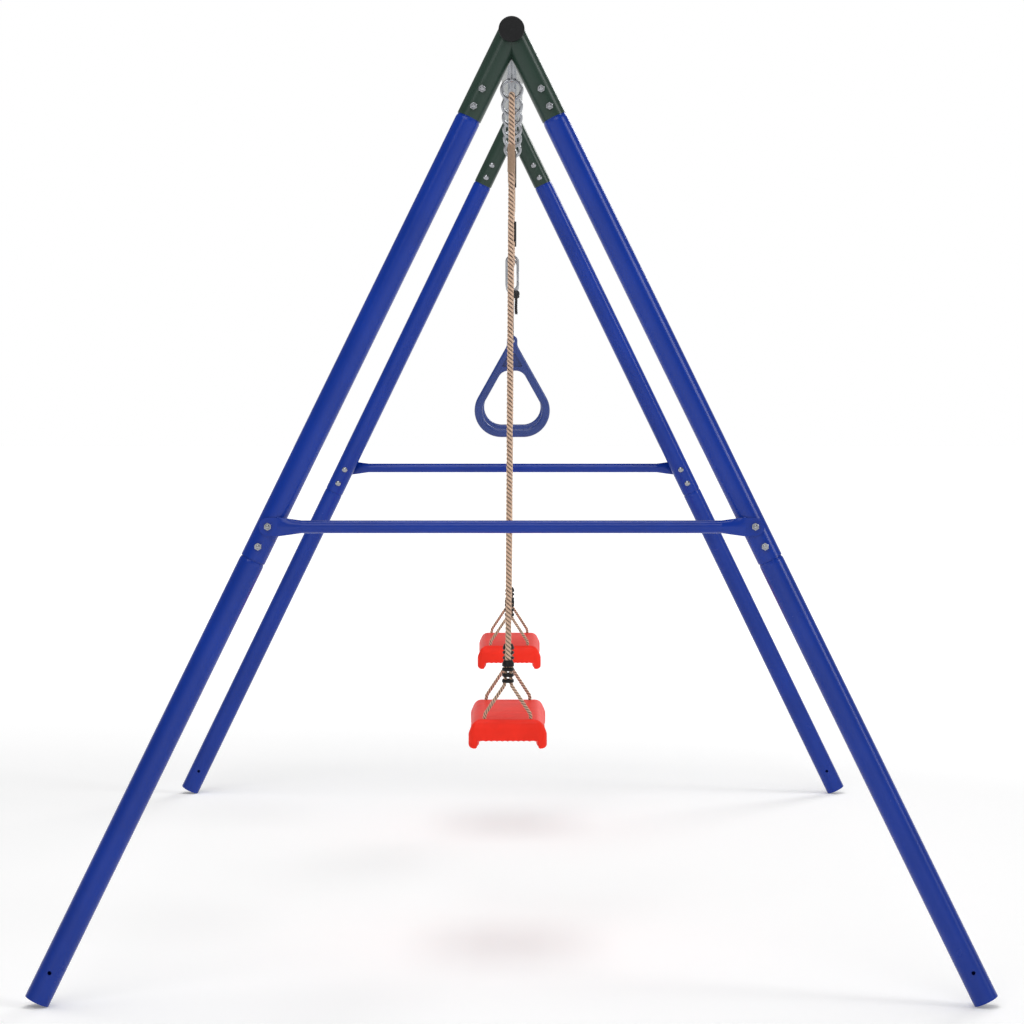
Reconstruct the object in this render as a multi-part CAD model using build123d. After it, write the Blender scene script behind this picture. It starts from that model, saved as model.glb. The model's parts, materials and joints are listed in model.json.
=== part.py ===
from build123d import *
import math
import os

# A steel swing set: two splayed A-frames joined by a round beam that runs along Y.
# Two rope swings with moulded seats and a pair of triangular gym rings hang from the
# beam on eye bolts.  Units are millimetres, +Z is up, and the origin is on the floor
# below the middle of the beam.  "Front" is -Y, "rear" is +Y, "left" is -X, "right" is +X.

# ---- Frame tubes ----
TUBE_R = 25.0                 # legs, beam and corner connectors
TUBE_WALL = 1.5
BORE_R = TUBE_R - TUBE_WALL
NECK_R = BORE_R - 0.1         # a swaged tube end that slides into the next tube
NECK_BORE_R = NECK_R - TUBE_WALL
SHOULDER = 10.0               # length of the rounded step from the neck to the full tube
NECK_LENGTH = 90.0
BEAM_Z = 1899.0               # beam axis above the floor
APEX_Y = 1310.0               # where the leg axes meet the beam axis
FOOT_X = 918.0                # foot centres
FOOT_Y = 1425.0
CONNECTOR_LEG = 192.0         # connector socket length, measured from the apex
CONNECTOR_BOLTS = (132.5, 170.5)
CONNECTOR_FRONT = 32.0        # how far the beam socket stands out in front of the apex
CONNECTOR_BACK = 110.0        # how far it reaches back to take the beam
SOCKET_START = 34.0           # where the leg sockets open, measured from the apex
BEAM_BOLTS = (22.0, 62.0)     # from the socket's mouth
LEG_JOINT = 1155.0            # where upper and lower leg meet, measured from the apex
LEG_JOINT_BOLTS = (1085.0, 1128.0)
ANCHOR_HOLE_R = 4.0
ANCHOR_FROM_END = 63.0
CENTRE_BOLTS = (25.0, 65.0)   # beam's middle joint
CAP_R = 25.6
CAP_THICK = 5.0
CAP_PLUG = 20.0

# ---- M8 frame bolts and M10 eye bolts ----
BOLT_R = 3.95
BOLT_HOLE_R = 4.25
HEAD_R = 7.5
HEAD_HEIGHT = 4.4
NUT_FLATS = 13.0
NUT_THICK = 6.8
BOLT_OUT = 3.6                # thread showing past the nut
EYE_SHANK_R = 4.95
EYE_HOLE_R = 5.25
EYE_NUT_FLATS = 16.0
EYE_NUT_THICK = 8.4
EYE_OUT = 3.0

# ---- Cross braces ----
BRACE_R = 12.5
BRACE_WALL = 1.3
BRACE_FLAT = 3.0              # thickness of the flattened ends
BRACE_FLAT_WIDTH = 38.0
BRACE_FLAT_END = 456.0        # distance from the middle where the flat part begins
BRACE_ROUND_END = 408.0       # and where the round tube ends

# ---- Eye bolts ----
EYE_Z = 1806.0                # centre of each eye, the axis that a swing turns about
EYE_R = 20.25                 # to the centre of the wire
EYE_WIRE_R = 4.25
COLLAR_R = 10.8
COLLAR_Z = (1829.0, 1837.0)
SWING_HANGERS = (560.0, 1010.0)
RING_HANGER = 200.0

# ---- Swings ----
ROPE_R = 6.5
ROPE_CLEAR = 0.35             # between a rope and the metal that it passes round
SEAT_X = -8.5                 # the swings hang a little to the left
SEAT_Y = 785.0
SEAT_TOP = 500.0
SEAT_LENGTH = 400.0
SEAT_WIDTH = 155.0
SEAT_DEEP = 59.0
SEAT_PLATE = 6.0
SEAT_SIDE = 18.0              # thickness of the round lips along the sides
SEAT_LIP_ROUND = 8.5
SEAT_END = 10.0
SEAT_END_DEEP = 44.0          # the end panels stop short of the lips
SEAT_FLANGE_WIDTH = 163.0
SEAT_FLANGE = 12.0
SEAT_FLANGE_DROP = 18.0
SEAT_ROUND = 22.0
SEAT_HOLE_X = 48.5
SEAT_HOLE_Y = 170.0
SEAT_HOLE_R = 5.5
BRIDLE_R = 4.0
BRIDLE_APART = 5.5            # each strand's distance from the middle, inside the ferrules
BRIDLE_CORNER = 73.0          # height above the seat where the strands come together
BRIDLE_TOP = 113.5
BRIDLE_FOOT = 8.0
KNOT_R = 9.0
FERRULE_R = 12.5
FERRULE_THICK = 6.5
FERRULE_HEIGHTS = (79.5, 92.0, 104.0)
CAP_FERRULE = (110.5, 123.0)
CAP_FERRULE_TOP_R = 9.0
ROPE_FOOT = 114.5             # the rope's lower end, in the top ferrule
TAIL_APART = 13.4             # centre distance between a rope and its tail
WHIPPING_WALL = 1.6

# ---- Gym rings ----
HOOK_WIRE_R = 3.0
HOOK_HALF_WIDTH = 13.0
HOOK_TOP = 1484.0             # wire centres
HOOK_BOTTOM = 1405.0
GATE_R = 2.7
GATE_Z = (1424.0, 1448.0)
GATE_GAP = 0.6
SLEEVE_WALL = 3.2
UPPER_SLEEVE = (1663.0, 1728.0)
LOWER_SLEEVE = (1518.0, 1564.0)
SLING_R = 3.5
SLING_KNOT = (8.0, -14.0, 1398.0)
SLING_KNOT_R = 8.5
SLING_TAIL_END = 1352.0
RING_BOTTOM = 1063.5
RING_THICK = 20.0
RING_LEAN = math.radians(29.3)  # how far the side bars lean from upright
RING_HEIGHT = 236.5
RING_NECK = 12.3
RING_OUTER_X = 131.4          # where the outer side lines meet the bottom line
RING_NECK_FOOT = 212.3
RING_OUTER_R = 62.0
RING_INNER_X = 99.4
RING_INNER_LOW = 18.5
RING_INNER_HIGH = 154.2
RING_INNER_TOP_X = 23.3
RING_INNER_R = (43.0, 26.0)
RING_EDGE = 6.0
RING_WEB = 6.0                # thickness of the web between the neck and the arch
RING_WEB_LOW = 163.0
RING_WEB_HIGH = 196.0
RING_WEB_SIDE = 25.0          # half width of the web's recess at its foot
LUG_HOLE_Z = 1287.0
LUG_HOLE_R = 5.0


def leg_plane(side, end):
    """A plane with its origin at the apex, Z down the leg and Y straight out of the A-frame."""
    run = math.hypot(FOOT_X, FOOT_Y - APEX_Y)
    foot_z = TUBE_R * run / math.hypot(run, BEAM_Z)
    down = Vector(side * FOOT_X, end * (FOOT_Y - APEX_Y), foot_z - BEAM_Z)
    return Plane(
        origin=(0, end * APEX_Y, BEAM_Z),
        x_dir=frame_normal(end).cross(down.normalized()),
        z_dir=down.normalized(),
    ), down.length


def frame_normal(end):
    """The outward unit normal of the front (-1) or rear (+1) A-frame."""
    return Vector(0, end * BEAM_Z, FOOT_Y - APEX_Y).normalized()


def turned(points, plane):
    """A solid of revolution about the plane's Z from (radius, height) points."""
    outline = Plane.XZ * make_face(Polyline(*points, close=True))
    return plane * revolve(outline, Axis.Z)


def necked_tube(plane, start, end):
    """A tube from start to end, with a swaged neck that reaches back from start."""
    outer = [
        (NECK_R, start - NECK_LENGTH),
        (NECK_R, start + 2.5),
        (NECK_R + 0.7, start + 3.2),
        (TUBE_R - 0.5, start + 5.2),
        (TUBE_R - 0.12, start + 7.5),
        (TUBE_R, start + SHOULDER),
        (TUBE_R, end),
    ]
    inner = [
        (BORE_R, end),
        (BORE_R, start + SHOULDER + 1),
        (NECK_BORE_R, start),
        (NECK_BORE_R, start - NECK_LENGTH),
    ]
    return turned(outer + inner, plane)


def cross_hole(plane, height, radius, x=0.0):
    """A drill along the plane's Y, long enough to pass through any tube here."""
    return plane * (Pos(x, 0, height) * Rot(90, 0, 0) * Cylinder(radius, 4 * TUBE_R))


def upper_leg(side, end):
    plane, _ = leg_plane(side, end)
    tube = necked_tube(plane, CONNECTOR_LEG, LEG_JOINT)
    for height in CONNECTOR_BOLTS + LEG_JOINT_BOLTS:
        tube -= cross_hole(plane, height, BOLT_HOLE_R)
    return tube


def lower_leg(side, end):
    plane, length = leg_plane(side, end)
    tube = necked_tube(plane, LEG_JOINT, length)
    for height in LEG_JOINT_BOLTS:
        tube -= cross_hole(plane, height, BOLT_HOLE_R)
    return tube - cross_hole(plane, length - ANCHOR_FROM_END, ANCHOR_HOLE_R)


def along_y(radius, start, end):
    """A cylinder on the beam axis between two Y positions."""
    middle = (start + end) / 2
    return Pos(0, middle, BEAM_Z) * Rot(90, 0, 0) * Cylinder(radius, abs(end - start))


def beam_hole(y, radius):
    return Pos(0, y, BEAM_Z) * Cylinder(radius, 4 * TUBE_R)


def corner_connector(end):
    """Two leg sockets mitred to the tube that takes the beam."""
    front = end * (APEX_Y + CONNECTOR_FRONT)
    back = end * (APEX_Y - CONNECTOR_BACK)
    body = along_y(TUBE_R, front, back)
    planes = [leg_plane(side, end)[0] for side in (-1, 1)]
    for plane in planes:
        body += plane * (Pos(0, 0, CONNECTOR_LEG / 2) * Cylinder(TUBE_R, CONNECTOR_LEG))
    body -= along_y(BORE_R, front, back)
    depth = CONNECTOR_LEG - SOCKET_START
    for plane in planes:
        body -= plane * (Pos(0, 0, SOCKET_START + depth / 2) * Cylinder(BORE_R, depth))
        for height in CONNECTOR_BOLTS:
            body -= cross_hole(plane, height, BOLT_HOLE_R)
    for step in BEAM_BOLTS:
        body -= beam_hole(back + end * step, BOLT_HOLE_R)
    return body


def beam_cap(end):
    """A plastic plug with a slightly domed face in the open end of the connector."""
    mouth = APEX_Y + CONNECTOR_FRONT
    plane = Plane(origin=(0, end * mouth, BEAM_Z), x_dir=(1, 0, 0), z_dir=(0, end, 0))
    profile = [
        (0, -CAP_PLUG),
        (BORE_R - 0.2, -CAP_PLUG),
        (BORE_R - 0.2, 0),
        (CAP_R, 0),
        (CAP_R, CAP_THICK - 2.5),
        (CAP_R - 0.9, CAP_THICK - 0.9),
        (CAP_R - 3.0, CAP_THICK),
        (0, CAP_THICK + 0.6),
    ]
    return turned(profile, plane)


def beam_tube(end):
    """One half of the beam. The rear half has the neck that slides into the front half."""
    mouth = APEX_Y - CONNECTOR_BACK
    plane = Plane(origin=(0, end * mouth, BEAM_Z), x_dir=(1, 0, 0), z_dir=(0, -end, 0))
    tube = necked_tube(plane, 0, mouth)
    holes = [end * (mouth + step) for step in BEAM_BOLTS]
    hangers = [end * y for y in SWING_HANGERS + (RING_HANGER,)]
    if end > 0:
        tube += turned(
            [
                (NECK_BORE_R, -NECK_LENGTH),
                (NECK_R, -NECK_LENGTH),
                (NECK_R, 2.5),
                (TUBE_R - 0.5, 5.2),
                (TUBE_R, SHOULDER),
                (BORE_R - 0.5, SHOULDER + 4),
                (NECK_BORE_R, SHOULDER),
            ],
            Plane(origin=(0, 0, BEAM_Z), x_dir=(1, 0, 0), z_dir=(0, 1, 0)),
        )
        tube -= along_y(NECK_BORE_R, -2 * NECK_LENGTH, SHOULDER)
    for y in CENTRE_BOLTS:
        holes.append(-y)
    for y in holes:
        tube -= beam_hole(y, BOLT_HOLE_R)
    for y in hangers:
        tube -= beam_hole(y, EYE_HOLE_R)
    return tube


def domed_bolt(plane, low, high):
    """A bolt along the plane's Z with its round head below low and a domed tip above high."""
    profile = [
        (0, low - HEAD_HEIGHT),
        (HEAD_R * 0.45, low - HEAD_HEIGHT * 0.9),
        (HEAD_R * 0.8, low - HEAD_HEIGHT * 0.6),
        (HEAD_R, low - HEAD_HEIGHT * 0.15),
        (HEAD_R, low),
        (BOLT_R, low),
        (BOLT_R, high - 2.0),
        (BOLT_R * 0.85, high - 0.9),
        (BOLT_R * 0.5, high - 0.2),
        (0, high),
    ]
    return turned(profile, plane)


def hex_nut(plane, low, flats=NUT_FLATS, thick=NUT_THICK, hole=BOLT_R + 0.05):
    """A hexagon nut with a corner along the plane's Y and both faces bevelled."""
    blank = extrude(RegularPolygon(flats / 2, 6, major_radius=False, rotation=30), thick)
    bevel = turned(
        [
            (0, 0),
            (flats / 2, 0),
            (flats * 0.6, flats * 0.1),
            (flats * 0.6, thick - flats * 0.06),
            (flats / 2, thick),
            (0, thick),
        ],
        Plane.XY,
    )
    nut = (blank & bevel) - Cylinder(hole, 4 * thick)
    return plane * (Pos(0, 0, low) * nut)


def frame_bolt_plane(side, end, height):
    """A plane on a leg's axis at that height, with Z straight out of the A-frame."""
    plane, _ = leg_plane(side, end)
    return Plane(
        origin=plane.from_local_coords(Vector(0, 0, height)),
        x_dir=(1, 0, 0),
        z_dir=frame_normal(end),
    )


def frame_bolts(heights, extra=(0.0, 0.0)):
    """Bolts and nuts for all four legs. extra is what each bolt also clamps outside the leg."""
    bolts, nuts = [], []
    for side in (-1, 1):
        for end in (-1, 1):
            for height, more in zip(heights, extra):
                plane = frame_bolt_plane(side, end, height)
                seat = TUBE_R + more + 0.02
                bolts.append(domed_bolt(plane, -TUBE_R - 0.02, seat + NUT_THICK + BOLT_OUT))
                nuts.append(hex_nut(plane, seat))
    return bolts, nuts


def beam_bolts():
    """Upright bolts through the beam's joints, heads on top and nuts underneath."""
    mouth = APEX_Y - CONNECTOR_BACK
    places = [end * (mouth + step) for end in (-1, 1) for step in BEAM_BOLTS]
    places += [-y for y in CENTRE_BOLTS]
    bolts, nuts = [], []
    for y in places:
        plane = Plane(origin=(0, y, BEAM_Z), x_dir=(1, 0, 0), z_dir=(0, 0, -1))
        bolts.append(domed_bolt(plane, -TUBE_R - 0.02, TUBE_R + NUT_THICK + BOLT_OUT))
        nuts.append(hex_nut(plane, TUBE_R + 0.02))
    return bolts, nuts


def hanger_places():
    inner, outer = SWING_HANGERS
    return [-outer, -inner, -RING_HANGER, RING_HANGER, inner, outer]


def eye_bolt(y):
    """Shank, collar and a closed round eye that lies across the beam."""
    top = BEAM_Z + TUBE_R + EYE_NUT_THICK + EYE_OUT
    low = EYE_Z + EYE_R
    shank = Pos(0, y, (low + top) / 2) * Cylinder(EYE_SHANK_R, top - low)
    collar = Pos(0, y, sum(COLLAR_Z) / 2) * Cylinder(COLLAR_R, COLLAR_Z[1] - COLLAR_Z[0])
    eye = Pos(0, y, EYE_Z) * Rot(90, 0, 0) * Torus(EYE_R, EYE_WIRE_R)
    return shank + collar + eye


def eye_nuts(y):
    """One nut above the beam and one below it."""
    above = Plane(origin=(0, y, BEAM_Z + TUBE_R + 0.02), x_dir=(1, 0, 0), z_dir=(0, 0, 1))
    below = Plane(origin=(0, y, BEAM_Z - TUBE_R - 0.02), x_dir=(1, 0, 0), z_dir=(0, 0, -1))
    size = (EYE_NUT_FLATS, EYE_NUT_THICK, EYE_SHANK_R + 0.05)
    return [hex_nut(plane, 0, *size) for plane in (above, below)]


def cross_brace(end):
    """A round tube with flattened, rounded ends, bolted on the outside of both legs."""
    leg, _ = leg_plane(1, end)
    bolt = leg.from_local_coords(Vector(0, 0, LEG_JOINT_BOLTS[0]))
    out = frame_normal(end) * (TUBE_R + BRACE_FLAT / 2 + 0.02)
    plane = Plane(origin=(0, bolt.Y + out.Y, bolt.Z + out.Z), x_dir=(1, 0, 0), z_dir=out)
    bar = Rot(0, 90, 0) * Cylinder(BRACE_R, 2 * BRACE_ROUND_END)
    for side in (-1, 1):
        facing = Plane(origin=(side * BRACE_ROUND_END, 0, 0), x_dir=(0, 1, 0), z_dir=(side, 0, 0))
        flat = Plane(origin=(side * BRACE_FLAT_END, 0, 0), x_dir=(0, 1, 0), z_dir=(side, 0, 0))
        bar += loft([facing * Circle(BRACE_R), flat * SlotOverall(BRACE_FLAT_WIDTH, BRACE_FLAT)])
        span = bolt.X - BRACE_FLAT_END
        bar += Pos(side * (BRACE_FLAT_END + span / 2), 0, 0) * Box(
            span, BRACE_FLAT_WIDTH - BRACE_FLAT, BRACE_FLAT
        )
        bar += Pos(side * bolt.X, 0, 0) * Cylinder(
            (BRACE_FLAT_WIDTH - BRACE_FLAT) / 2, BRACE_FLAT
        )
        bar -= Pos(side * bolt.X, 0, 0) * Cylinder(BOLT_HOLE_R, 4 * BRACE_FLAT)
    bar -= Rot(0, 90, 0) * Cylinder(BRACE_R - BRACE_WALL, 2 * BRACE_ROUND_END - 4)
    return plane * bar


def tube_along(points, radii, radius):
    """A solid round cord that follows straight runs joined by tangent arcs."""
    path = FilletPolyline(*points, radius=radii)
    start = Plane(origin=path @ 0, z_dir=path % 0)
    cord = sweep(start * Circle(radius), path=path)
    expected = math.pi * radius**2 * path.length
    print(f"  radii {radii}, length {path.length:.1f}, volume share {cord.volume / expected:.4f}")
    return cord


def loop_points(centre, reach, up):
    """Corners of an octagon's half round a wire in the YZ plane, from -Y to +Y."""
    y, z = centre
    short = reach * math.tan(math.radians(22.5))
    return [
        (0, y - reach, z - up * 5.0),
        (0, y - reach, z + up * short),
        (0, y - short, z + up * reach),
        (0, y + short, z + up * reach),
        (0, y + reach, z + up * short),
        (0, y + reach, z - up * 5.0),
    ]


LOOP_RADII = [20.0, 9.3, 9.3, 9.3, 9.3, 20.0]


def hung_plane(y_hole, y_eye):
    """A swing rope's own plane: origin on the seat top, Z up the rope, which leans a little."""
    rise = EYE_Z - EYE_R - SEAT_TOP
    up = Vector(-SEAT_X, y_eye - y_hole, rise)
    x_dir = Vector(rise, 0, SEAT_X)
    plane = Plane(origin=(SEAT_X, y_hole, SEAT_TOP), x_dir=x_dir, z_dir=up.normalized())
    return plane, up.length


def swing_rope(plane, length):
    """Up from the top ferrule, round the eye, and back down beside itself."""
    reach = EYE_WIRE_R + ROPE_R + ROPE_CLEAR
    loop = loop_points((0, length), reach, 1)
    points = [(0, 0, ROPE_FOOT), (0, 0, length - 80.0)]
    points += list(reversed(loop))
    points += [(0, -TAIL_APART, length - 62.0), (0, -TAIL_APART, length - 140.0)]
    radii = [200.0] + LOOP_RADII + [200.0]
    return plane * tube_along(points, radii, ROPE_R)


def paired_sleeve(plane, low, high, wall):
    """An oval sleeve round a rope and its tail."""
    outer = SlotCenterToCenter(TAIL_APART, 2 * (ROPE_R + 0.1 + wall), rotation=90)
    inner = SlotCenterToCenter(TAIL_APART, 2 * (ROPE_R + 0.1), rotation=90)
    sleeve = extrude(outer - inner, high - low)
    return plane * (Pos(0, -TAIL_APART / 2, low) * sleeve)


def bridle_strand(plane, side):
    """From the knot under the seat, up through its hole and into the ferrules."""
    hole = side * SEAT_HOLE_X
    top = side * BRIDLE_APART
    points = [
        (hole, 0, -SEAT_PLATE - KNOT_R),
        (hole, 0, BRIDLE_FOOT),
        (top, 0, BRIDLE_CORNER),
        (top, 0, BRIDLE_TOP),
    ]
    strand = tube_along(points, [16.0, 16.0], BRIDLE_R)
    knot = Pos(hole, 0, -SEAT_PLATE - KNOT_R - 0.3) * Sphere(KNOT_R)
    return plane * (strand + knot)


def ferrules(plane):
    """Three rings and a tapered cap that clamp the rope to the two bridle strands."""
    slot = extrude(SlotOverall(2 * (BRIDLE_APART + BRIDLE_R + 0.2), 2 * BRIDLE_R + 0.5), 200)
    rings = []
    for height in FERRULE_HEIGHTS:
        ring = Pos(0, 0, height) * Cylinder(FERRULE_R, FERRULE_THICK)
        ring = fillet(ring.edges().filter_by(GeomType.CIRCLE), 1.8)
        rings.append(plane * (ring - slot))
    low, high = CAP_FERRULE
    cap = turned(
        [(0, low), (FERRULE_R, low), (FERRULE_R, low + 5), (CAP_FERRULE_TOP_R, high), (0, high)],
        Plane.XY,
    )
    cap -= Pos(0, 0, low) * extrude(slot.faces().sort_by(Axis.Z)[0], -(BRIDLE_TOP + 0.3 - low))
    cap -= Pos(0, 0, ROPE_FOOT - 0.3 + 50) * Cylinder(ROPE_R + 0.15, 100)
    return rings + [plane * cap]


def seat(end):
    """An upturned tray with rolled long sides, wider end panels and four rope holes."""
    shell = Pos(0, 0, -SEAT_DEEP / 2) * Box(SEAT_WIDTH, SEAT_LENGTH, SEAT_DEEP)
    shell = fillet(shell.edges().filter_by(Axis.Y).sort_by(Axis.Z)[-2:], SEAT_ROUND)
    inside = SEAT_WIDTH - 2 * SEAT_SIDE
    shell -= Pos(0, 0, -SEAT_PLATE - SEAT_DEEP / 2) * Box(inside, 2 * SEAT_LENGTH, SEAT_DEEP)
    shell = fillet(shell.edges().filter_by(Axis.Y).sort_by(Axis.Z)[:4], SEAT_LIP_ROUND)
    flange_middle = (SEAT_LENGTH - SEAT_FLANGE) / 2
    panel = SEAT_END_DEEP - SEAT_PLATE + 1
    flare = SEAT_DEEP - SEAT_FLANGE_DROP
    flare_wide = (SEAT_FLANGE_WIDTH - inside) / 2
    ear = Box(flare_wide, SEAT_FLANGE, flare)
    ear = fillet(ear.edges().filter_by(Axis.Y).sort_by(Axis.Z)[:2], SEAT_LIP_ROUND)
    for side in (-1, 1):
        shell += Pos(0, side * (SEAT_LENGTH - SEAT_END) / 2, -SEAT_END_DEEP + panel / 2) * Box(
            inside + 2, SEAT_END, panel
        )
        for hand in (-1, 1):
            x = hand * (inside + flare_wide) / 2
            shell += Pos(x, side * flange_middle, -SEAT_FLANGE_DROP - flare / 2) * ear
    for x in (-SEAT_HOLE_X, SEAT_HOLE_X):
        for y in (-SEAT_HOLE_Y, SEAT_HOLE_Y):
            shell -= Pos(x, y, 0) * Cylinder(SEAT_HOLE_R, 4 * SEAT_PLATE)
    return Pos(SEAT_X, end * SEAT_Y, SEAT_TOP) * shell


def ring_rope(y):
    """A rope with an eye at each end: round the eye bolt above and the snap hook below."""
    upper = loop_points((0, EYE_Z - EYE_R), EYE_WIRE_R + ROPE_R + ROPE_CLEAR, 1)
    lower = loop_points((0, HOOK_TOP), HOOK_WIRE_R + ROPE_R + ROPE_CLEAR, -1)
    points = [(0, -TAIL_APART, UPPER_SLEEVE[0] + 9), (0, -TAIL_APART, UPPER_SLEEVE[1] + 4)]
    points += upper
    points += [(0, 0, UPPER_SLEEVE[1] + 4), (0, 0, LOWER_SLEEVE[0] - 6)]
    points += list(reversed(lower))
    points += [(0, -TAIL_APART, LOWER_SLEEVE[0] - 6), (0, -TAIL_APART, LOWER_SLEEVE[1] - 8)]
    lower_radii = [20.0, 8.0, 8.0, 8.0, 8.0, 20.0]
    radii = [30.0] + LOOP_RADII + [30.0, 20.0] + lower_radii + [20.0]
    return Pos(0, y, 0) * tube_along(points, radii, ROPE_R)


def snap_hook(y):
    """A long steel link. Its right side has a gap that the gate closes."""
    arc_top = HOOK_TOP - HOOK_HALF_WIDTH
    arc_low = HOOK_BOTTOM + HOOK_HALF_WIDTH
    wire = Rot(90, 0, 0) * Torus(HOOK_HALF_WIDTH, HOOK_WIRE_R)
    half = Pos(0, 0, 50) * Box(100, 100, 100)
    link = Pos(0, 0, arc_top) * (wire & half)
    link += Pos(0, 0, arc_low) * (wire - half)
    middle = (arc_top + arc_low) / 2
    for side in (-1, 1):
        link += Pos(side * HOOK_HALF_WIDTH, 0, middle) * Cylinder(HOOK_WIRE_R, arc_top - arc_low)
    low, high = GATE_Z
    link -= Pos(HOOK_HALF_WIDTH, 0, (low + high) / 2) * Box(
        3 * HOOK_WIRE_R, 3 * HOOK_WIRE_R, high - low
    )
    return Pos(0, y, 0) * link


def snap_gate(y):
    """The sprung piece that closes the snap hook. It turns in about its round lower end."""
    low = GATE_Z[0] + GATE_GAP + GATE_R
    high = GATE_Z[1] - GATE_GAP
    profile = [(0, high), (GATE_R - 0.8, high), (GATE_R, high - 0.8), (GATE_R, low), (0, low)]
    bar = turned(profile, Plane.XY) + Pos(0, 0, low) * Sphere(GATE_R)
    return Pos(HOOK_HALF_WIDTH, y, 0) * bar


def sling(y):
    """A black cord loop from the snap hook through the ring's lug, with a knot and a tail."""
    reach = HOOK_WIRE_R + SLING_R + 0.4
    outside = RING_THICK / 2 + SLING_R + 1.5
    top = loop_points((0, HOOK_BOTTOM), reach, 1)
    points = [(0, 0.6, LUG_HOLE_Z), (0, -outside, LUG_HOLE_Z), (0, -outside, LUG_HOLE_Z + 45)]
    points += top
    points += [(0, outside, LUG_HOLE_Z + 45), (0, outside, LUG_HOLE_Z), (0, -0.6, LUG_HOLE_Z)]
    radii = [7.0, 60.0, 20.0, 6.0, 6.0, 6.0, 6.0, 20.0, 60.0, 7.0]
    cord = tube_along(points[:-1] + [(0, 0.5, LUG_HOLE_Z)], radii, SLING_R)
    x, dy, z = SLING_KNOT
    knot = Pos(x, dy, z) * Sphere(SLING_KNOT_R)
    tail = Pos(x, dy, (z + SLING_TAIL_END) / 2) * Cylinder(SLING_R, z - SLING_TAIL_END)
    return Pos(0, y, 0) * (cord + knot + tail)


def ring_handle(y):
    """A triangular grip with a round-edged bar all round, and a lug with a hole on top."""
    outer = FilletPolyline(
        (RING_OUTER_X, 0),
        (RING_NECK, RING_NECK_FOOT),
        (RING_NECK, RING_HEIGHT),
        (-RING_NECK, RING_HEIGHT),
        (-RING_NECK, RING_NECK_FOOT),
        (-RING_OUTER_X, 0),
        radius=[RING_OUTER_R, 20.0, 12.0, 12.0, 20.0, RING_OUTER_R],
        close=True,
    )
    low_r, high_r = RING_INNER_R
    inner = FilletPolyline(
        (RING_INNER_X, RING_INNER_LOW),
        (RING_INNER_TOP_X, RING_INNER_HIGH),
        (-RING_INNER_TOP_X, RING_INNER_HIGH),
        (-RING_INNER_X, RING_INNER_LOW),
        radius=[low_r, high_r, high_r, low_r],
        close=True,
    )
    grip = extrude(make_face(outer), RING_THICK / 2, both=True)
    grip -= extrude(make_face(inner), RING_THICK, both=True)
    flat = grip.faces().filter_by(Axis.Z)
    grip = fillet(flat.edges(), RING_EDGE)
    low_half, high_half = (
        RING_WEB_SIDE - (height - RING_WEB_LOW) * math.tan(RING_LEAN)
        for height in (RING_WEB_LOW, RING_WEB_HIGH)
    )
    pocket = FilletPolyline(
        (low_half, RING_WEB_LOW),
        (high_half, RING_WEB_HIGH),
        (-high_half, RING_WEB_HIGH),
        (-low_half, RING_WEB_LOW),
        radius=3.0,
        close=True,
    )
    for side in (-1, 1):
        grip -= Pos(0, 0, side * (RING_WEB / 2 + RING_THICK / 2)) * extrude(
            make_face(pocket), RING_THICK / 2, both=True
        )
    lug = LUG_HOLE_Z - RING_BOTTOM
    grip -= Pos(0, lug, 0) * Cylinder(LUG_HOLE_R, 2 * RING_THICK)
    return Pos(0, y, RING_BOTTOM) * (Rot(90, 0, 0) * grip)


def save(name, solids):
    """Writes one node. A list becomes a group of separate solids."""
    shape = Compound(children=list(solids)) if isinstance(solids, list) else solids
    export_step(shape, f"parts/{name}.step")
    print(name)


def save_frame():
    for end, place in ((-1, "front"), (1, "rear")):
        save(f"corner_connector_{place}", corner_connector(end))
        save(f"beam_cap_{place}", beam_cap(end))
        save(f"beam_tube_{place}", beam_tube(end))
        save(f"cross_brace_{place}", cross_brace(end))
        for side, hand in ((-1, "left"), (1, "right")):
            save(f"upper_leg_{place}_{hand}", upper_leg(side, end))
            save(f"lower_leg_{place}_{hand}", lower_leg(side, end))
    bolts, nuts = frame_bolts(CONNECTOR_BOLTS)
    save("connector_bolts", bolts)
    save("connector_nuts", nuts)
    bolts, nuts = frame_bolts(LEG_JOINT_BOLTS, (BRACE_FLAT + 0.04, 0.0))
    save("leg_joint_bolts", bolts)
    save("leg_joint_nuts", nuts)
    bolts, nuts = beam_bolts()
    save("beam_bolts", bolts)
    save("beam_nuts", nuts)
    save("eye_bolts", [eye_bolt(y) for y in hanger_places()])
    save("eye_bolt_nuts", [nut for y in hanger_places() for nut in eye_nuts(y)])


def save_swing(end, place):
    save(f"seat_{place}", seat(end))
    inner, outer = SWING_HANGERS
    for hole, eye, which in ((-1, inner, "inner"), (1, outer, "outer")):
        y_hole = end * (SEAT_Y + hole * SEAT_HOLE_Y)
        plane, length = hung_plane(y_hole, end * eye)
        name = f"{place}_{which}"
        save(f"swing_rope_{name}", swing_rope(plane, length))
        save(f"whipping_{name}", paired_sleeve(plane, length - 150, length - 92, WHIPPING_WALL))
        save(f"bridle_{name}", [bridle_strand(plane, side) for side in (-1, 1)])
        save(f"ferrules_{name}", ferrules(plane))


def save_ring(end, place):
    y = end * RING_HANGER
    hung = Plane(origin=(0, y, 0))
    save(f"ring_rope_{place}", ring_rope(y))
    sleeves = [paired_sleeve(hung, *span, SLEEVE_WALL) for span in (UPPER_SLEEVE, LOWER_SLEEVE)]
    save(f"rope_sleeves_{place}", sleeves)
    save(f"snap_hook_{place}", snap_hook(y))
    save(f"snap_gate_{place}", snap_gate(y))
    save(f"ring_sling_{place}", sling(y))
    save(f"ring_handle_{place}", ring_handle(y))


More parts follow.
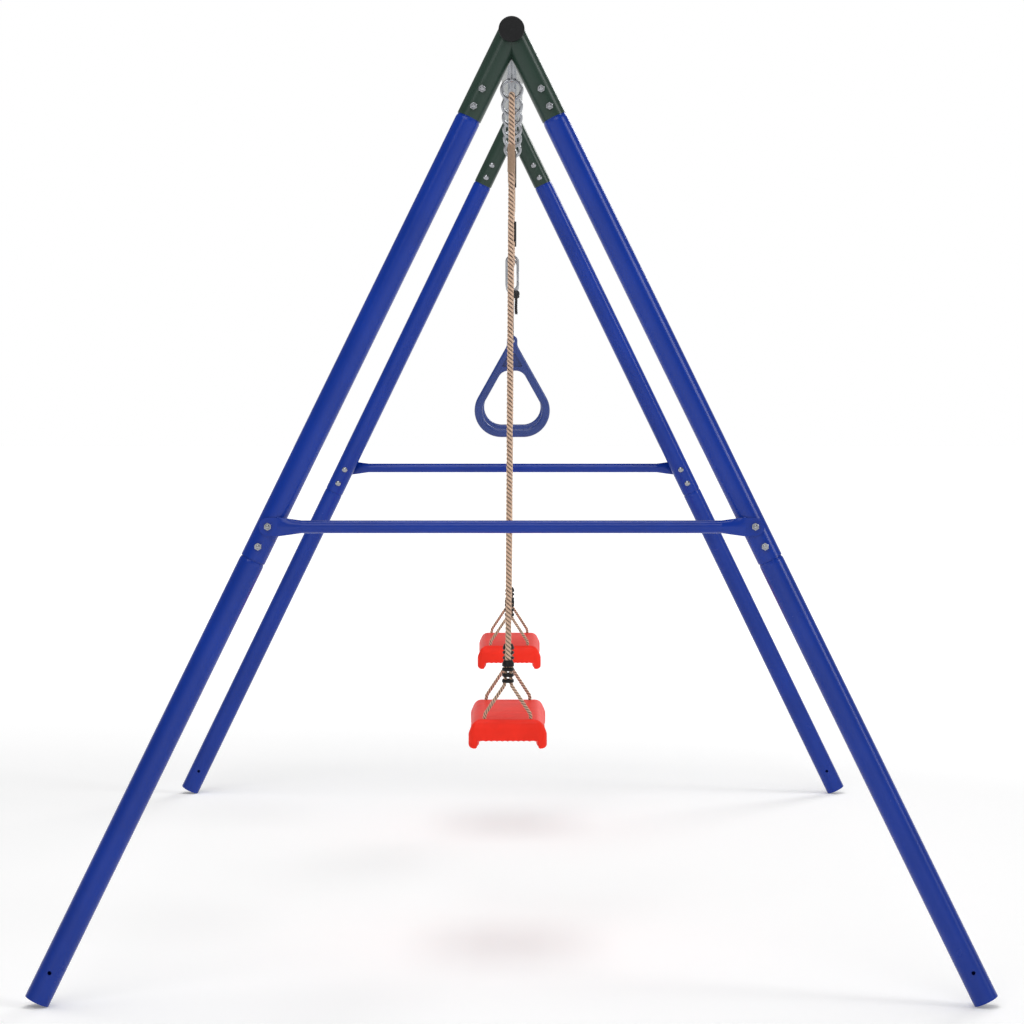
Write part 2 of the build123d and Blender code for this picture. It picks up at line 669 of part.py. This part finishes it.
def main():
    os.makedirs("parts", exist_ok=True)
    save_frame()
    for end, place in ((-1, "front"), (1, "rear")):
        save_swing(end, place)
        save_ring(end, place)


main()
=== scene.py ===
import json
import math

import bpy
from mathutils import Matrix, Vector, noise


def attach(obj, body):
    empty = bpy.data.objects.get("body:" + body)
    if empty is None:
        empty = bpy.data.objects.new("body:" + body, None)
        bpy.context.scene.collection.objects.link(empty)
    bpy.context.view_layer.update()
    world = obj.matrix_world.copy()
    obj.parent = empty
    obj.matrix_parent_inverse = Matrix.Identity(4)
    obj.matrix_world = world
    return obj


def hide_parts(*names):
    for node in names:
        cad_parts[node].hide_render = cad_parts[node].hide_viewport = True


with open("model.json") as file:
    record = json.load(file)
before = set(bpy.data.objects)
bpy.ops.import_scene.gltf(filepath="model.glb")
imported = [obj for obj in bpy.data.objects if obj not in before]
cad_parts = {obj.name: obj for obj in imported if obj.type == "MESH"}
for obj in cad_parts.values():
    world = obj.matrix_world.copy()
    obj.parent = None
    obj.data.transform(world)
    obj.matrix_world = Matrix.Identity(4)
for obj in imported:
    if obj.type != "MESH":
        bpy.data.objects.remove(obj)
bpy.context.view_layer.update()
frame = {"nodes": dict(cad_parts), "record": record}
SCENE = bpy.context.scene

# ---- Camera ----
EYE = (0.0077, -7.4785, 1.290)
LENS_MM = 110.04
SHIFT = (-0.0034, -0.1683)


def make_camera():
    data = bpy.data.cameras.new("camera")
    data.sensor_width = 36.0
    data.lens = LENS_MM
    data.shift_x, data.shift_y = SHIFT
    camera = bpy.data.objects.new("camera", data)
    camera.location = EYE
    camera.rotation_euler = (math.radians(90), 0, 0)
    SCENE.collection.objects.link(camera)
    SCENE.camera = camera


make_camera()


# ---- Materials ----
class Shader:
    """A Principled material and short ways to add nodes to it."""

    def __init__(self, name, roughness, **sockets):
        self.material = bpy.data.materials.new(name)
        self.material.use_nodes = True
        self.tree = self.material.node_tree
        self.bsdf = self.tree.nodes["Principled BSDF"]
        self.bsdf.inputs["Roughness"].default_value = roughness
        for socket, value in sockets.items():
            self.bsdf.inputs[socket.replace("_", " ")].default_value = value

    def node(self, kind, inputs=(), **settings):
        made = self.tree.nodes.new(kind)
        for key, value in settings.items():
            setattr(made, key, value)
        for key, value in dict(inputs).items():
            if isinstance(value, bpy.types.NodeSocket):
                self.tree.links.new(value, made.inputs[key])
            else:
                made.inputs[key].default_value = value
        return made

    def place(self):
        return self.node("ShaderNodeTexCoord").outputs["Object"]

    def noise(self, scale, detail=3.0):
        sockets = {"Vector": self.place(), "Scale": scale, "Detail": detail}
        return self.node("ShaderNodeTexNoise", sockets).outputs["Fac"]

    def math(self, operation, *values):
        made = self.node("ShaderNodeMath", dict(enumerate(values)), operation=operation)
        return made.outputs[0]

    def ramp(self, value, low, high, start=0.0, end=1.0):
        sockets = {0: value, 1: start, 2: end, 3: low, 4: high}
        return self.node("ShaderNodeMapRange", sockets).outputs[0]

    def mix(self, factor, first, second):
        made = self.node("ShaderNodeMix", data_type="RGBA")
        for index, value in ((0, factor), (6, first), (7, second)):
            if isinstance(value, bpy.types.NodeSocket):
                self.tree.links.new(value, made.inputs[index])
            else:
                made.inputs[index].default_value = value
        return made.outputs[2]

    def set(self, socket, value):
        self.tree.links.new(value, self.bsdf.inputs[socket])

    def bump(self, height, distance, strength):
        sockets = {"Height": height, "Distance": distance, "Strength": strength}
        self.set("Normal", self.node("ShaderNodeBump", sockets).outputs[0])


def shade(colour, factor):
    return (*(min(1.0, c * factor) for c in colour), 1.0)


def tone(shader, colour, spread, scale):
    """Base colour that wanders a little over the surface."""
    patches = shader.ramp(shader.noise(scale, 4.0), 0.0, 1.0, 0.35, 0.65)
    colours = shade(colour, 1 - spread), shade(colour, 1 + spread)
    shader.set("Base Color", shader.mix(patches, *colours))


def powder_paint(name, colour, roughness, specular):
    """Smooth sprayed paint with a very fine orange peel and slightly uneven gloss."""
    shader = Shader(name, roughness, Specular_IOR_Level=specular)
    tone(shader, colour, 0.06, 9.0)
    shader.set("Roughness", shader.ramp(shader.noise(24.0), roughness - 0.04, roughness + 0.05))
    shader.bump(shader.noise(900.0, 2.0), 0.00004, 0.5)
    return shader.material


def zinc():
    """Bright zinc plating, with fine scratches and duller patches."""
    shader = Shader("zinc", 0.25, Metallic=1.0)
    tone(shader, (0.34, 0.35, 0.37), 0.12, 60.0)
    shader.set("Roughness", shader.ramp(shader.noise(150.0, 5.0), 0.16, 0.36))
    shader.bump(shader.noise(1400.0, 3.0), 0.00003, 0.6)
    return shader.material


def black_plastic():
    shader = Shader("black_plastic", 0.42, Specular_IOR_Level=0.2)
    tone(shader, (0.007, 0.0073, 0.008), 0.12, 40.0)
    shader.set("Roughness", shader.ramp(shader.noise(300.0), 0.36, 0.5))
    shader.bump(shader.noise(1800.0, 2.0), 0.00006, 0.6)
    return shader.material


def red_plastic():
    """Moulded seat plastic with a fine anti-slip grain."""
    shader = Shader("red_plastic", 0.4, Specular_IOR_Level=0.08, Subsurface_Weight=0.05)
    shader.bsdf.inputs["Subsurface Radius"].default_value = (0.006, 0.0015, 0.0008)
    tone(shader, (0.88, 0.032, 0.017), 0.05, 25.0)
    grain = shader.node("ShaderNodeTexVoronoi", {"Vector": shader.place(), "Scale": 320.0})
    shader.set("Roughness", shader.ramp(shader.noise(120.0), 0.34, 0.5))
    shader.bump(grain.outputs["Distance"], 0.00025, 0.55)
    return shader.material


def blue_plastic():
    shader = Shader("blue_plastic", 0.3, Specular_IOR_Level=0.5)
    tone(shader, (0.017, 0.042, 0.20), 0.06, 20.0)
    shader.set("Roughness", shader.ramp(shader.noise(60.0), 0.24, 0.36))
    shader.bump(shader.noise(700.0, 3.0), 0.00008, 0.5)
    return shader.material


def twisted_fibre(name, light, dark, turns, fuzz):
    """Yarns that run slantwise round a strand, with painted shade in the grooves between
    strands. UV is (round the strand, metres along it).
    """
    shader = Shader(name, 0.85, Sheen_Weight=0.25, Specular_IOR_Level=0.25)
    uv = shader.node("ShaderNodeUVMap", uv_map="lay").outputs[0]
    split = shader.node("ShaderNodeSeparateXYZ", {0: uv})
    wobble = shader.math("MULTIPLY", shader.noise(500.0), 1.2)
    along = shader.math("MULTIPLY_ADD", split.outputs[1], turns * 120.0, wobble)
    phase = shader.math("MULTIPLY_ADD", split.outputs[0], turns, along)
    wave = shader.math("SINE", shader.math("MULTIPLY", phase, 2 * math.pi))
    hairs = shader.noise(2600.0, 4.0)
    height = shader.math("MULTIPLY_ADD", hairs, fuzz, wave)
    crown = shader.node("ShaderNodeAttribute", attribute_name="crown").outputs["Fac"]
    # Points close to the rope's middle, deep between the strands and on the core, get the dark
    # colour: painted shade in the grooves.
    painted_groove_shade = shader.ramp(crown, -0.1, 0.78, 0.74, 0.97)
    blotch = shader.ramp(shader.noise(70.0, 4.0), 0.0, 0.12, 0.35, 0.7)
    yarns = shader.ramp(height, 0.0, 0.28, -1.0, 1.0 + fuzz)
    # Mixes the painted groove shade with the yarn pattern and random blotches.
    groove_shade_and_yarns = shader.math("ADD", painted_groove_shade, shader.math("ADD", yarns, blotch))
    shader.set("Base Color", shader.mix(groove_shade_and_yarns, (*dark, 1.0), (*light, 1.0)))
    shader.bump(height, 0.00025, 0.8)
    return shader.material


LOOKS = {
    "blue_paint": powder_paint("blue_paint", (0.002, 0.028, 0.26), 0.25, 0.3),
    "green_paint": powder_paint("green_paint", (0.018, 0.038, 0.028), 0.28, 0.3),
    "black_plastic": black_plastic(),
    "zinc_steel": zinc(),
    "red_plastic": red_plastic(),
    "blue_plastic": blue_plastic(),
    # The darker of each rope's two colours is its painted groove shade and the dark of its yarn
    # pattern.
    "hemp_rope": twisted_fibre("hemp_rope", (0.80, 0.55, 0.39), (0.09, 0.05, 0.03), 5.0, 0.8),
    "twine": twisted_fibre("twine", (0.62, 0.42, 0.28), (0.15, 0.09, 0.055), 3.0, 0.8),
    "black_cord": twisted_fibre(
        "black_cord", (0.022, 0.022, 0.024), (0.008, 0.008, 0.009), 4.0, 0.6
    ),
}


def dress_frame():
    """Gives every CAD node the look of its slot in the record."""
    for part in frame["record"]["subparts"]:
        for slot in frame["nodes"][part["node"]].material_slots:
            slot.link = "OBJECT"
            slot.material = LOOKS[part["material_slot"]]


dress_frame()


# ---- Mesh helpers ----
def new_piece(name, slot, body, verts, faces, uvs=None, crowns=None):
    """A mesh object in the row frame that rides on a body."""
    mesh = bpy.data.meshes.new(name)
    mesh.from_pydata(verts, [], faces)
    if uvs:
        layer = mesh.uv_layers.new(name="lay")
        layer.data.foreach_set("uv", [value for pair in uvs for value in pair])
    if crowns:
        layer = mesh.attributes.new("crown", "FLOAT", "POINT")
        layer.data.foreach_set("value", crowns)
    mesh.polygons.foreach_set("use_smooth", [True] * len(faces))
    mesh.materials.append(LOOKS[slot])
    piece = bpy.data.objects.new(name, mesh)
    SCENE.collection.objects.link(piece)
    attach(piece, body)
    return piece


def spline_line(points):
    """The smooth line of a NURBS spline with these control points."""
    curve = bpy.data.curves.new("route", "CURVE")
    curve.dimensions = "3D"
    curve.resolution_u = 24
    spline = curve.splines.new("NURBS")
    spline.points.add(len(points) - 1)
    for control, point in zip(spline.points, points):
        control.co = (*point, 1.0)
    spline.order_u = 3
    spline.use_endpoint_u = True
    holder = bpy.data.objects.new("route", curve)
    SCENE.collection.objects.link(holder)
    view = bpy.context.evaluated_depsgraph_get()
    mesh = bpy.data.meshes.new_from_object(holder.evaluated_get(view))
    line = [vertex.co.copy() for vertex in mesh.vertices]
    bpy.data.objects.remove(holder)
    bpy.data.meshes.remove(mesh)
    return line


def resampled(line, step):
    """Points an equal distance apart along a line."""
    lengths = [0.0]
    for a, b in zip(line, line[1:]):
        lengths.append(lengths[-1] + (b - a).length)
    count = max(8, round(lengths[-1] / step))
    out, i = [], 0
    for k in range(count + 1):
        want = lengths[-1] * k / count
        while i < len(line) - 2 and lengths[i + 1] < want:
            i += 1
        span = max(lengths[i + 1] - lengths[i], 1e-9)
        out.append(line[i].lerp(line[i + 1], (want - lengths[i]) / span))
    return out, lengths[-1]


def carried_frames(line):
    """(tangent, side, across) at each point, turned as little as possible along the line."""
    frames, side = [], None
    for i, point in enumerate(line):
        tangent = (line[min(i + 1, len(line) - 1)] - line[max(i - 1, 0)]).normalized()
        if side is None:
            side = Vector((1, 0, 0)) if abs(tangent.x) < 0.8 else Vector((0, 1, 0))
        side = (side - tangent * side.dot(tangent)).normalized()
        frames.append((tangent, side, tangent.cross(side)))
    return frames


class TubeMesh:
    """Collects closed tubes into one mesh."""

    def __init__(self):
        self.verts, self.faces, self.uvs, self.crowns = [], [], [], []

    def tube(self, line, radius, around=8, middle=(), outside=1.0):
        """A closed tube. middle is the rope's own line, which crowns are measured from."""
        start = len(self.verts)
        along, place = [], 0.0
        for i, (point, (_, side, across)) in enumerate(zip(line, carried_frames(line))):
            place += (point - line[i - 1]).length if i else 0.0
            along.append(place)
            for j in range(around):
                angle = 2 * math.pi * j / around
                out = side * math.cos(angle) + across * math.sin(angle)
                self.verts.append(point + out * radius)
                # A crown is a point's distance from the rope's middle, as a share of the rope's
                # radius; the fibre materials paint shade where it is small. Tubes without a
                # middle line get 0.9, which carries no painted shade.
                crown = (self.verts[-1] - middle[i]).length / outside if middle else 0.9
                self.crowns.append(crown)
        for i in range(len(line) - 1):
            for j in range(around):
                k = (j + 1) % around
                low, high = start + i * around, start + (i + 1) * around
                self.faces.append((low + j, low + k, high + k, high + j))
                u0, u1 = j / around, (j + 1) / around
                v0, v1 = along[i], along[i + 1]
                self.uvs += [(u0, v0), (u1, v0), (u1, v1), (u0, v1)]
        last = start + (len(line) - 1) * around
        self.faces.append(tuple(start + j for j in reversed(range(around))))
        self.faces.append(tuple(last + j for j in range(around)))
        self.uvs += [(0.5, 0.0)] * around + [(0.5, along[-1])] * around

    def piece(self, name, slot, body):
        return new_piece(name, slot, body, self.verts, self.faces, self.uvs, self.crowns)


STRANDS = 3
STRAND_SHARE = 0.44           # a strand's radius as a share of its rope's
CORE_SHARE = 0.4
CORE_SIDES = 6
STRAND_SIDES = 8
WANDER = 0.05                 # how unevenly a strand lies


def strands(mesh, line, radius, pitch):
    """Left-laid strands round a centreline, each one pressed against its neighbours."""
    fine, length = resampled(line, radius / 3.2)
    thin = radius * STRAND_SHARE
    # A thin core fills the middle; it lies inside the strands and, where seen between them,
    # takes the darkest painted groove shade.
    mesh.tube(fine, radius * CORE_SHARE, CORE_SIDES, fine, radius)
    frames = carried_frames(fine)
    for n in range(STRANDS):
        route = []
        for i, (point, (_, side, across)) in enumerate(zip(fine, frames)):
            angle = -2 * math.pi * (i * length / (len(fine) - 1) / pitch + n / STRANDS)
            wander = 1 + WANDER * noise.noise(Vector((i * 0.05, n * 7.3, length)))
            out = side * math.cos(angle) + across * math.sin(angle)
            route.append(point + out * (radius - thin) * wander)
        mesh.tube(route, thin, STRAND_SIDES, fine, radius)


# ---- Ropes: the same corners as the CAD routes ----
EYE_BOTTOM = 1.78575          # centre of the wire at the bottom of an eye bolt
SEAT_TOP = 0.500
SEAT_X = -0.0085              # the swings hang a little to the left
ROPE_D = 0.013
ROPE_PITCH = 0.0265
EYE_REACH = 0.0111            # a rope loop's reach round an eye bolt's wire
HOOK_REACH = 0.00985
BRIDLE_D = 0.008
BRIDLE_PITCH = 0.021
CORD_D = 0.007
TAIL_APART = 0.0134
HOOK_TOP = 1.484              # centre of the wire at each end of a snap hook
HOOK_BOTTOM = 1.405
BRIDLE_HOLE = 0.0485          # each strand's distance from the middle, in the seat
BRIDLE_APART = 0.0055         # and in the ferrules
BRIDLE_CORNER = 0.073         # height above the seat where the strands come together
BRIDLE_FOOT = 0.008
KNOT_SIZE = 0.0105
KNOT_THICK = 0.0036
TWINE_R = 0.00085
TWINE_TURNS = 32
TWINE_STEPS = 32              # points in each turn
WHIPPING = (0.1495, 0.0925)   # its two ends, measured down from the eye bolt
LUG_Z = 1.287
SLING_OUT = 0.015
SLING_BEND = 1.332
SLING_REACH = 0.0069
CORD_PITCH = 0.016


def on_rope(y_hole, y_eye):
    """Moves points from a swing rope's own frame to the row frame, both in metres.

    y_hole and y_eye are in mm. The rope's length up to its eye bolt comes back too.
    """
    rise = EYE_BOTTOM - SEAT_TOP
    up = Vector((-SEAT_X, (y_eye - y_hole) / 1000, rise))
    side = Vector((rise, 0, SEAT_X)).normalized()
    axes = Matrix((side, up.normalized().cross(side), up.normalized())).transposed()
    return Matrix.Translation((SEAT_X, y_hole / 1000, SEAT_TOP)) @ axes.to_4x4(), up.length


def octagon(reach, up, z):
    """Corners of half an octagon round a wire, from -Y to +Y, in metres."""
    short = reach * math.tan(math.radians(22.5))
    return [
        (0, -reach, z - up * 0.005),
        (0, -reach, z + up * short),
        (0, -short, z + up * reach),
        (0, short, z + up * reach),
        (0, reach, z + up * short),
        (0, reach, z - up * 0.005),
    ]


def rope_piece(name, body, slot, points, diameter, pitch,
               replaces=()):
    """A twisted rope along a spline; the CAD parts it replaces are hidden."""
    line = spline_line(points)
    mesh = TubeMesh()
    strands(mesh, line, diameter / 2, pitch)
    piece = mesh.piece(name, slot, body)
    if replaces:
        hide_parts(*replaces)


def overhand_knot(name, slot, body, centre):
    """A pulled-tight knot: a trefoil of rope, flattened along Z."""
    line = []
    for i in range(97):
        t = 2 * math.pi * i / 96
        shape = Vector((
            math.sin(t) + 2 * math.sin(2 * t),
            math.cos(t) - 2 * math.cos(2 * t),
            -1.6 * math.sin(3 * t),
        ))
        line.append(Vector(centre) + shape * (KNOT_SIZE - KNOT_THICK) / 3.0)
    mesh = TubeMesh()
    strands(mesh, line, KNOT_THICK, KNOT_THICK * 5)
    return mesh.piece(name, slot, body)


def swing_rope(place, which, y_hole, y_eye):
    """One main rope: up from its ferrule, round the eye bolt and back down beside itself."""
    to_row, height = on_rope(y_hole, y_eye)
    loop = octagon(EYE_REACH, 1, height)
    corners = [(0, 0, 0.1145), (0, 0, height - 0.152), (0, 0, height - 0.080)]
    corners += list(reversed(loop))
    corners += [(0, -TAIL_APART, height - 0.062), (0, -TAIL_APART, height - 0.140)]
    points = [to_row @ Vector(corner) for corner in corners]
    rope_piece(f"rope_{place}_{which}", f"swing_{place}", "hemp_rope", points, ROPE_D,
               ROPE_PITCH,
               replaces=[f"swing_rope_{place}_{which}"])
    whipping(place, which, to_row, height)


def whipping(place, which, to_row, height):
    """Close turns of twine that bind a rope to its tail."""
    low, high = (height - down for down in WHIPPING)
    reach = ROPE_D / 2 + TWINE_R
    straight, arc = TAIL_APART, math.pi * reach
    line = []
    for i in range(TWINE_TURNS * TWINE_STEPS + 1):
        share = i / TWINE_STEPS
        walk = (share % 1) * 2 * (straight + arc)
        if walk < straight:
            x, y = reach, -walk
        elif walk < straight + arc:
            a = (walk - straight) / reach
            x, y = reach * math.cos(a), -TAIL_APART - reach * math.sin(a)
        elif walk < 2 * straight + arc:
            x, y = -reach, -TAIL_APART + (walk - straight - arc)
        else:
            a = (walk - 2 * straight - arc) / reach
            x, y = -reach * math.cos(a), reach * math.sin(a)
        line.append(to_row @ Vector((x, y, low + (high - low) * share / TWINE_TURNS)))
    mesh = TubeMesh()
    mesh.tube(line, TWINE_R, 6)
    piece = mesh.piece(f"twine_{place}_{which}", "twine", f"swing_{place}")
    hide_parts(f"whipping_{place}_{which}")


def bridle(place, which, y_hole, y_eye, side):
    """One thin strand from the ferrules down through its hole in the seat, to a knot."""
    to_row, _ = on_rope(y_hole, y_eye)
    hole, top = side * BRIDLE_HOLE, side * BRIDLE_APART
    drop = BRIDLE_CORNER - BRIDLE_FOOT
    corners = [(top, 0, 0.1130), (top, 0, BRIDLE_CORNER)]
    corners += [
        (top + (hole - top) * share, 0, BRIDLE_CORNER - drop * share) for share in (0.13, 0.87)
    ]
    corners += [(hole, 0, BRIDLE_FOOT), (hole, 0, -0.015)]
    points = [to_row @ Vector(corner) for corner in corners]
    hand = "left" if side < 0 else "right"
    name, body = f"bridle_{place}_{which}_{hand}", f"swing_{place}"
    centre = to_row @ Vector((hole, 0, -0.0165))
    knot = overhand_knot(f"knot_{place}_{which}_{hand}", "hemp_rope", body, centre)
    rope_piece(name, body, "hemp_rope", points, BRIDLE_D, BRIDLE_PITCH,
               replaces=[f"bridle_{place}_{which}"])


def ring_rope(place, y):
    """A rope with an eye at each end, round the eye bolt and round the snap hook."""
    upper = octagon(EYE_REACH, 1, EYE_BOTTOM)
    lower = octagon(HOOK_REACH, -1, HOOK_TOP)
    corners = [(0, -TAIL_APART, 1.672), (0, -TAIL_APART, 1.732), *upper]
    corners += [(0, 0, 1.732), (0, 0, 1.662), (0, 0, 1.582), (0, 0, 1.512)]
    corners += [*reversed(lower), (0, -TAIL_APART, 1.512), (0, -TAIL_APART, 1.556)]
    points = [Vector((x, y + dy, z)) for x, dy, z in corners]
    rope_piece(f"ring_line_rope_{place}", f"ring_line_{place}", "hemp_rope", points, ROPE_D,
               ROPE_PITCH,
               replaces=[f"ring_rope_{place}"])


def ring_sling(place, y):
    """A black cord loop from the snap hook to the ring, with its knot and tail."""
    body = f"gym_ring_{place}"
    loop = octagon(SLING_REACH, 1, HOOK_BOTTOM)
    corners = [(0, 0.0006, LUG_Z), (0, -SLING_OUT, LUG_Z), (0, -SLING_OUT, SLING_BEND), *loop]
    corners += [(0, SLING_OUT, SLING_BEND), (0, SLING_OUT, LUG_Z), (0, 0.0005, LUG_Z)]
    points = [Vector((x, y + dy, z)) for x, dy, z in corners]
    knot = overhand_knot(f"sling_knot_{place}", "black_cord", body,
                         (0.008, y - 0.014, 1.398))
    mesh = TubeMesh()
    tail = [(0.009, y - 0.014, 1.396), (0.0095, y - 0.015, 1.380),
            (0.0085, y - 0.0145, 1.366), (0.0095, y - 0.014, 1.3525)]
    strands(mesh, spline_line(tail), CORD_D / 2, CORD_PITCH)
    end = mesh.piece(f"sling_tail_{place}", "black_cord", body)
    rope_piece(f"sling_{place}", body, "black_cord", points, CORD_D, CORD_PITCH,
               replaces=[f"ring_sling_{place}"])


# ---- Seats ----
SEAT_LENGTH = 0.400
SEAT_WIDTH = 0.155
SEAT_DEEP = 0.059
SEAT_EDGE = 0.022             # radius of the long top edges
SEAT_FLARE = 0.004
SEAT_LIP = 0.018
SEAT_SKIRT = 0.044            # how far the end skirts reach down
SEAT_WALL = 0.005
SEAT_CORNER = 0.012
SCALLOP = 0.0111
SCALLOP_DEPTH = 0.0012
SEAT_PLATE = 0.006
SWING_Y_MM = 785               # the middle of each swing, from the middle of the beam
RING_Y = 0.2


def smooth_step(value):
    value = min(1.0, max(0.0, value))
    return value * value * (3 - 2 * value)


def seat_outline(inset, corner):
    """Points round a rounded rectangle, closely spaced along the ends."""
    half_x, half_y = SEAT_WIDTH / 2 - inset, SEAT_LENGTH / 2 - inset
    corner = max(corner - inset, 0.0012)
    quarter = []
    across, along, turn = 56, 26, 8
    for i in range(across):
        quarter.append(((half_x - corner) * i / across, -half_y))
    for i in range(turn):
        a = math.pi / 2 * i / turn
        quarter.append((
            half_x - corner + corner * math.sin(a),
            -half_y + corner - corner * math.cos(a),
        ))
    for i in range(along + 1):
        quarter.append((half_x, (-half_y + corner) * (1 - i / along)))
    right = quarter + [(x, -y) for x, y in reversed(quarter[:-1])]
    return right + [(-x, y) for x, y in reversed(right[1:-1])]


def seat_rim(x, y):
    """How far down the rim reaches: low round lips at the sides, scallops along the ends."""
    lip = SEAT_LIP / 2
    from_lip = abs(x) - (SEAT_WIDTH / 2 - lip)
    if abs(y) < SEAT_LENGTH / 2 - SEAT_CORNER or from_lip > -lip / 3:
        return SEAT_DEEP
    if from_lip > -lip:
        return SEAT_DEEP - lip + math.sqrt(lip * lip - from_lip * from_lip)
    return SEAT_SKIRT - SCALLOP_DEPTH * abs(math.sin(math.pi * x / SCALLOP))


def seat_piece(place, end):
    """A thin moulded tray, open below, with rolled edges and wider ends."""
    rings = []

    def flared(points):
        """Pushes the sides out near the ends, low down."""
        ring = []
        for x, y, z in points:
            near_end = smooth_step((abs(y) - SEAT_LENGTH / 2 + 0.030) / 0.014)
            low = smooth_step((-z - 0.014) / 0.016)
            grow = SEAT_FLARE * near_end * low * min(1.0, abs(x) / (SEAT_WIDTH / 2 - 0.02)) ** 6
            ring.append((x + math.copysign(grow, x), y, z))
        return ring

    for i in range(11):
        a = math.pi / 2 * i / 10
        inset = SEAT_EDGE * (1 - math.sin(a))
        depth = -SEAT_EDGE * (1 - math.cos(a))
        rings.append(flared([(*p, depth) for p in seat_outline(inset, SEAT_CORNER)]))
    outer = seat_outline(0.0, SEAT_CORNER)
    for depth in (0.025, 0.028, 0.031, 0.034, 0.037):
        rings.append(flared([(*p, -depth) for p in outer]))
    inside = [
        (
            math.copysign(min(abs(x), SEAT_WIDTH / 2 - SEAT_LIP), x),
            math.copysign(min(abs(y), SEAT_LENGTH / 2 - SEAT_WALL), y),
        )
        for x, y in outer
    ]
    for i in range(10):
        a = math.pi * i / 9
        ring = []
        for (x, y), (x_in, y_in) in zip(outer, inside):
            half = min(SEAT_LIP / 2, math.hypot(x - x_in, y - y_in) / 2)
            share = (1 - math.cos(a)) / 2
            depth = seat_rim(x, y) - half + half * math.sin(a)
            ring.append((x + (x_in - x) * share, y + (y_in - y) * share, -depth))
        rings.append(flared(ring))
    rings.append([(x, y, -SEAT_PLATE) for x, y in inside])

    count = len(outer)
    place_y = end * SWING_Y_MM / 1000
    verts = [(x + SEAT_X, y + place_y, z + SEAT_TOP) for ring in rings for x, y, z in ring]
    faces = []
    for k in range(len(rings) - 1):
        for i in range(count):
            j = (i + 1) % count
            low, high = k * count, (k + 1) * count
            faces.append((low + j, low + i, high + i, high + j))
    faces.append(tuple(range(count)))
    last = (len(rings) - 1) * count
    faces.append(tuple(last + i for i in reversed(range(count))))
    piece = new_piece(f"seat_shell_{place}", "red_plastic", f"swing_{place}", verts, faces)
    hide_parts(f"seat_{place}")


def build_swings():
    for end, place in ((-1, "front"), (1, "rear")):
        for hole, eye, which in ((-170, 560, "inner"), (170, 1010, "outer")):
            y_hole, y_eye = end * (SWING_Y_MM + hole), end * eye
            swing_rope(place, which, y_hole, y_eye)
            for side in (-1, 1):
                bridle(place, which, y_hole, y_eye, side)
        seat_piece(place, end)
        ring_rope(place, end * RING_Y)
        ring_sling(place, end * RING_Y)


build_swings()


# ---- Floor and light ----
FLOOR_REACH = 30.0
WORLD_LOW = 1.0               # the horizon is white, and the sky above it is dimmer
WORLD_HIGH = 0.22
WORLD_FADE = (0.12, 0.26)     # height in the sky where it starts and stops fading
FLOOR_GLOW = (0.18, 0.85)
FLOOR_FADE = (2.0, 8.0)       # metres from the middle


def make_stage():
    """A pale floor that grows brighter towards the horizon, so that it meets it unseen."""
    mesh = bpy.data.meshes.new("floor")
    r = FLOOR_REACH
    mesh.from_pydata([(-r, -r, 0), (r, -r, 0), (r, r, 0), (-r, r, 0)], [], [(0, 1, 2, 3)])
    shader = Shader("floor", 0.9, Specular_IOR_Level=0.0)
    shader.bsdf.inputs["Base Color"].default_value = (0.9, 0.9, 0.9, 1)
    shader.bsdf.inputs["Emission Color"].default_value = (1, 1, 1, 1)
    far = shader.node("ShaderNodeVectorMath", {0: shader.place()}, operation="LENGTH")
    shader.set("Emission Strength", shader.ramp(far.outputs["Value"], *FLOOR_GLOW, *FLOOR_FADE))
    mesh.materials.append(shader.material)
    floor = bpy.data.objects.new("floor", mesh)
    SCENE.collection.objects.link(floor)


def area_light(name, place, aim, size, watts):
    data = bpy.data.lights.new(name, "AREA")
    data.shape = "RECTANGLE"
    data.size, data.size_y = size
    data.energy = watts
    light = bpy.data.objects.new(name, data)
    light.location = place
    turn = (Vector(aim) - Vector(place)).to_track_quat("-Z", "Y")
    light.rotation_euler = turn.to_euler()
    SCENE.collection.objects.link(light)


def sun_light(name, towards, strength, spread):
    """A distant light. towards points from the object to the light; spread is in degrees."""
    data = bpy.data.lights.new(name, "SUN")
    data.energy = strength
    data.angle = math.radians(spread)
    light = bpy.data.objects.new(name, data)
    light.rotation_euler = Vector(towards).to_track_quat("Z", "Y").to_euler()
    SCENE.collection.objects.link(light)


def make_world():
    world = bpy.data.worlds.new("studio")
    world.use_nodes = True
    tree = world.node_tree
    place = tree.nodes.new("ShaderNodeTexCoord")
    split = tree.nodes.new("ShaderNodeSeparateXYZ")
    fade = tree.nodes.new("ShaderNodeMapRange")
    for index, value in enumerate((*WORLD_FADE, WORLD_LOW, WORLD_HIGH), start=1):
        fade.inputs[index].default_value = value
    tree.links.new(place.outputs["Generated"], split.inputs[0])
    tree.links.new(split.outputs[2], fade.inputs[0])
    tree.links.new(fade.outputs[0], tree.nodes["Background"].inputs["Strength"])
    tree.nodes["Background"].inputs["Color"].default_value = (1, 1, 1, 1)
    SCENE.world = world
    SCENE.view_settings.view_transform = "Standard"


def make_light():
    area_light("key", (-1.5, -7.0, 6.5), (0, 0, 0.9), (6.0, 4.0), 200)
    sun_light("streak", (0.83, -0.30, 0.47), 0.6, 20.0)
    area_light("above", (0.0, -0.5, 5.6), (0.0, 0.0, 0.0), (3.4, 3.4), 120)
    area_light("back", (3.4, 6.2, 4.8), (0, 0, 0.9), (2.6, 2.6), 150)


make_stage()
make_world()
make_light()
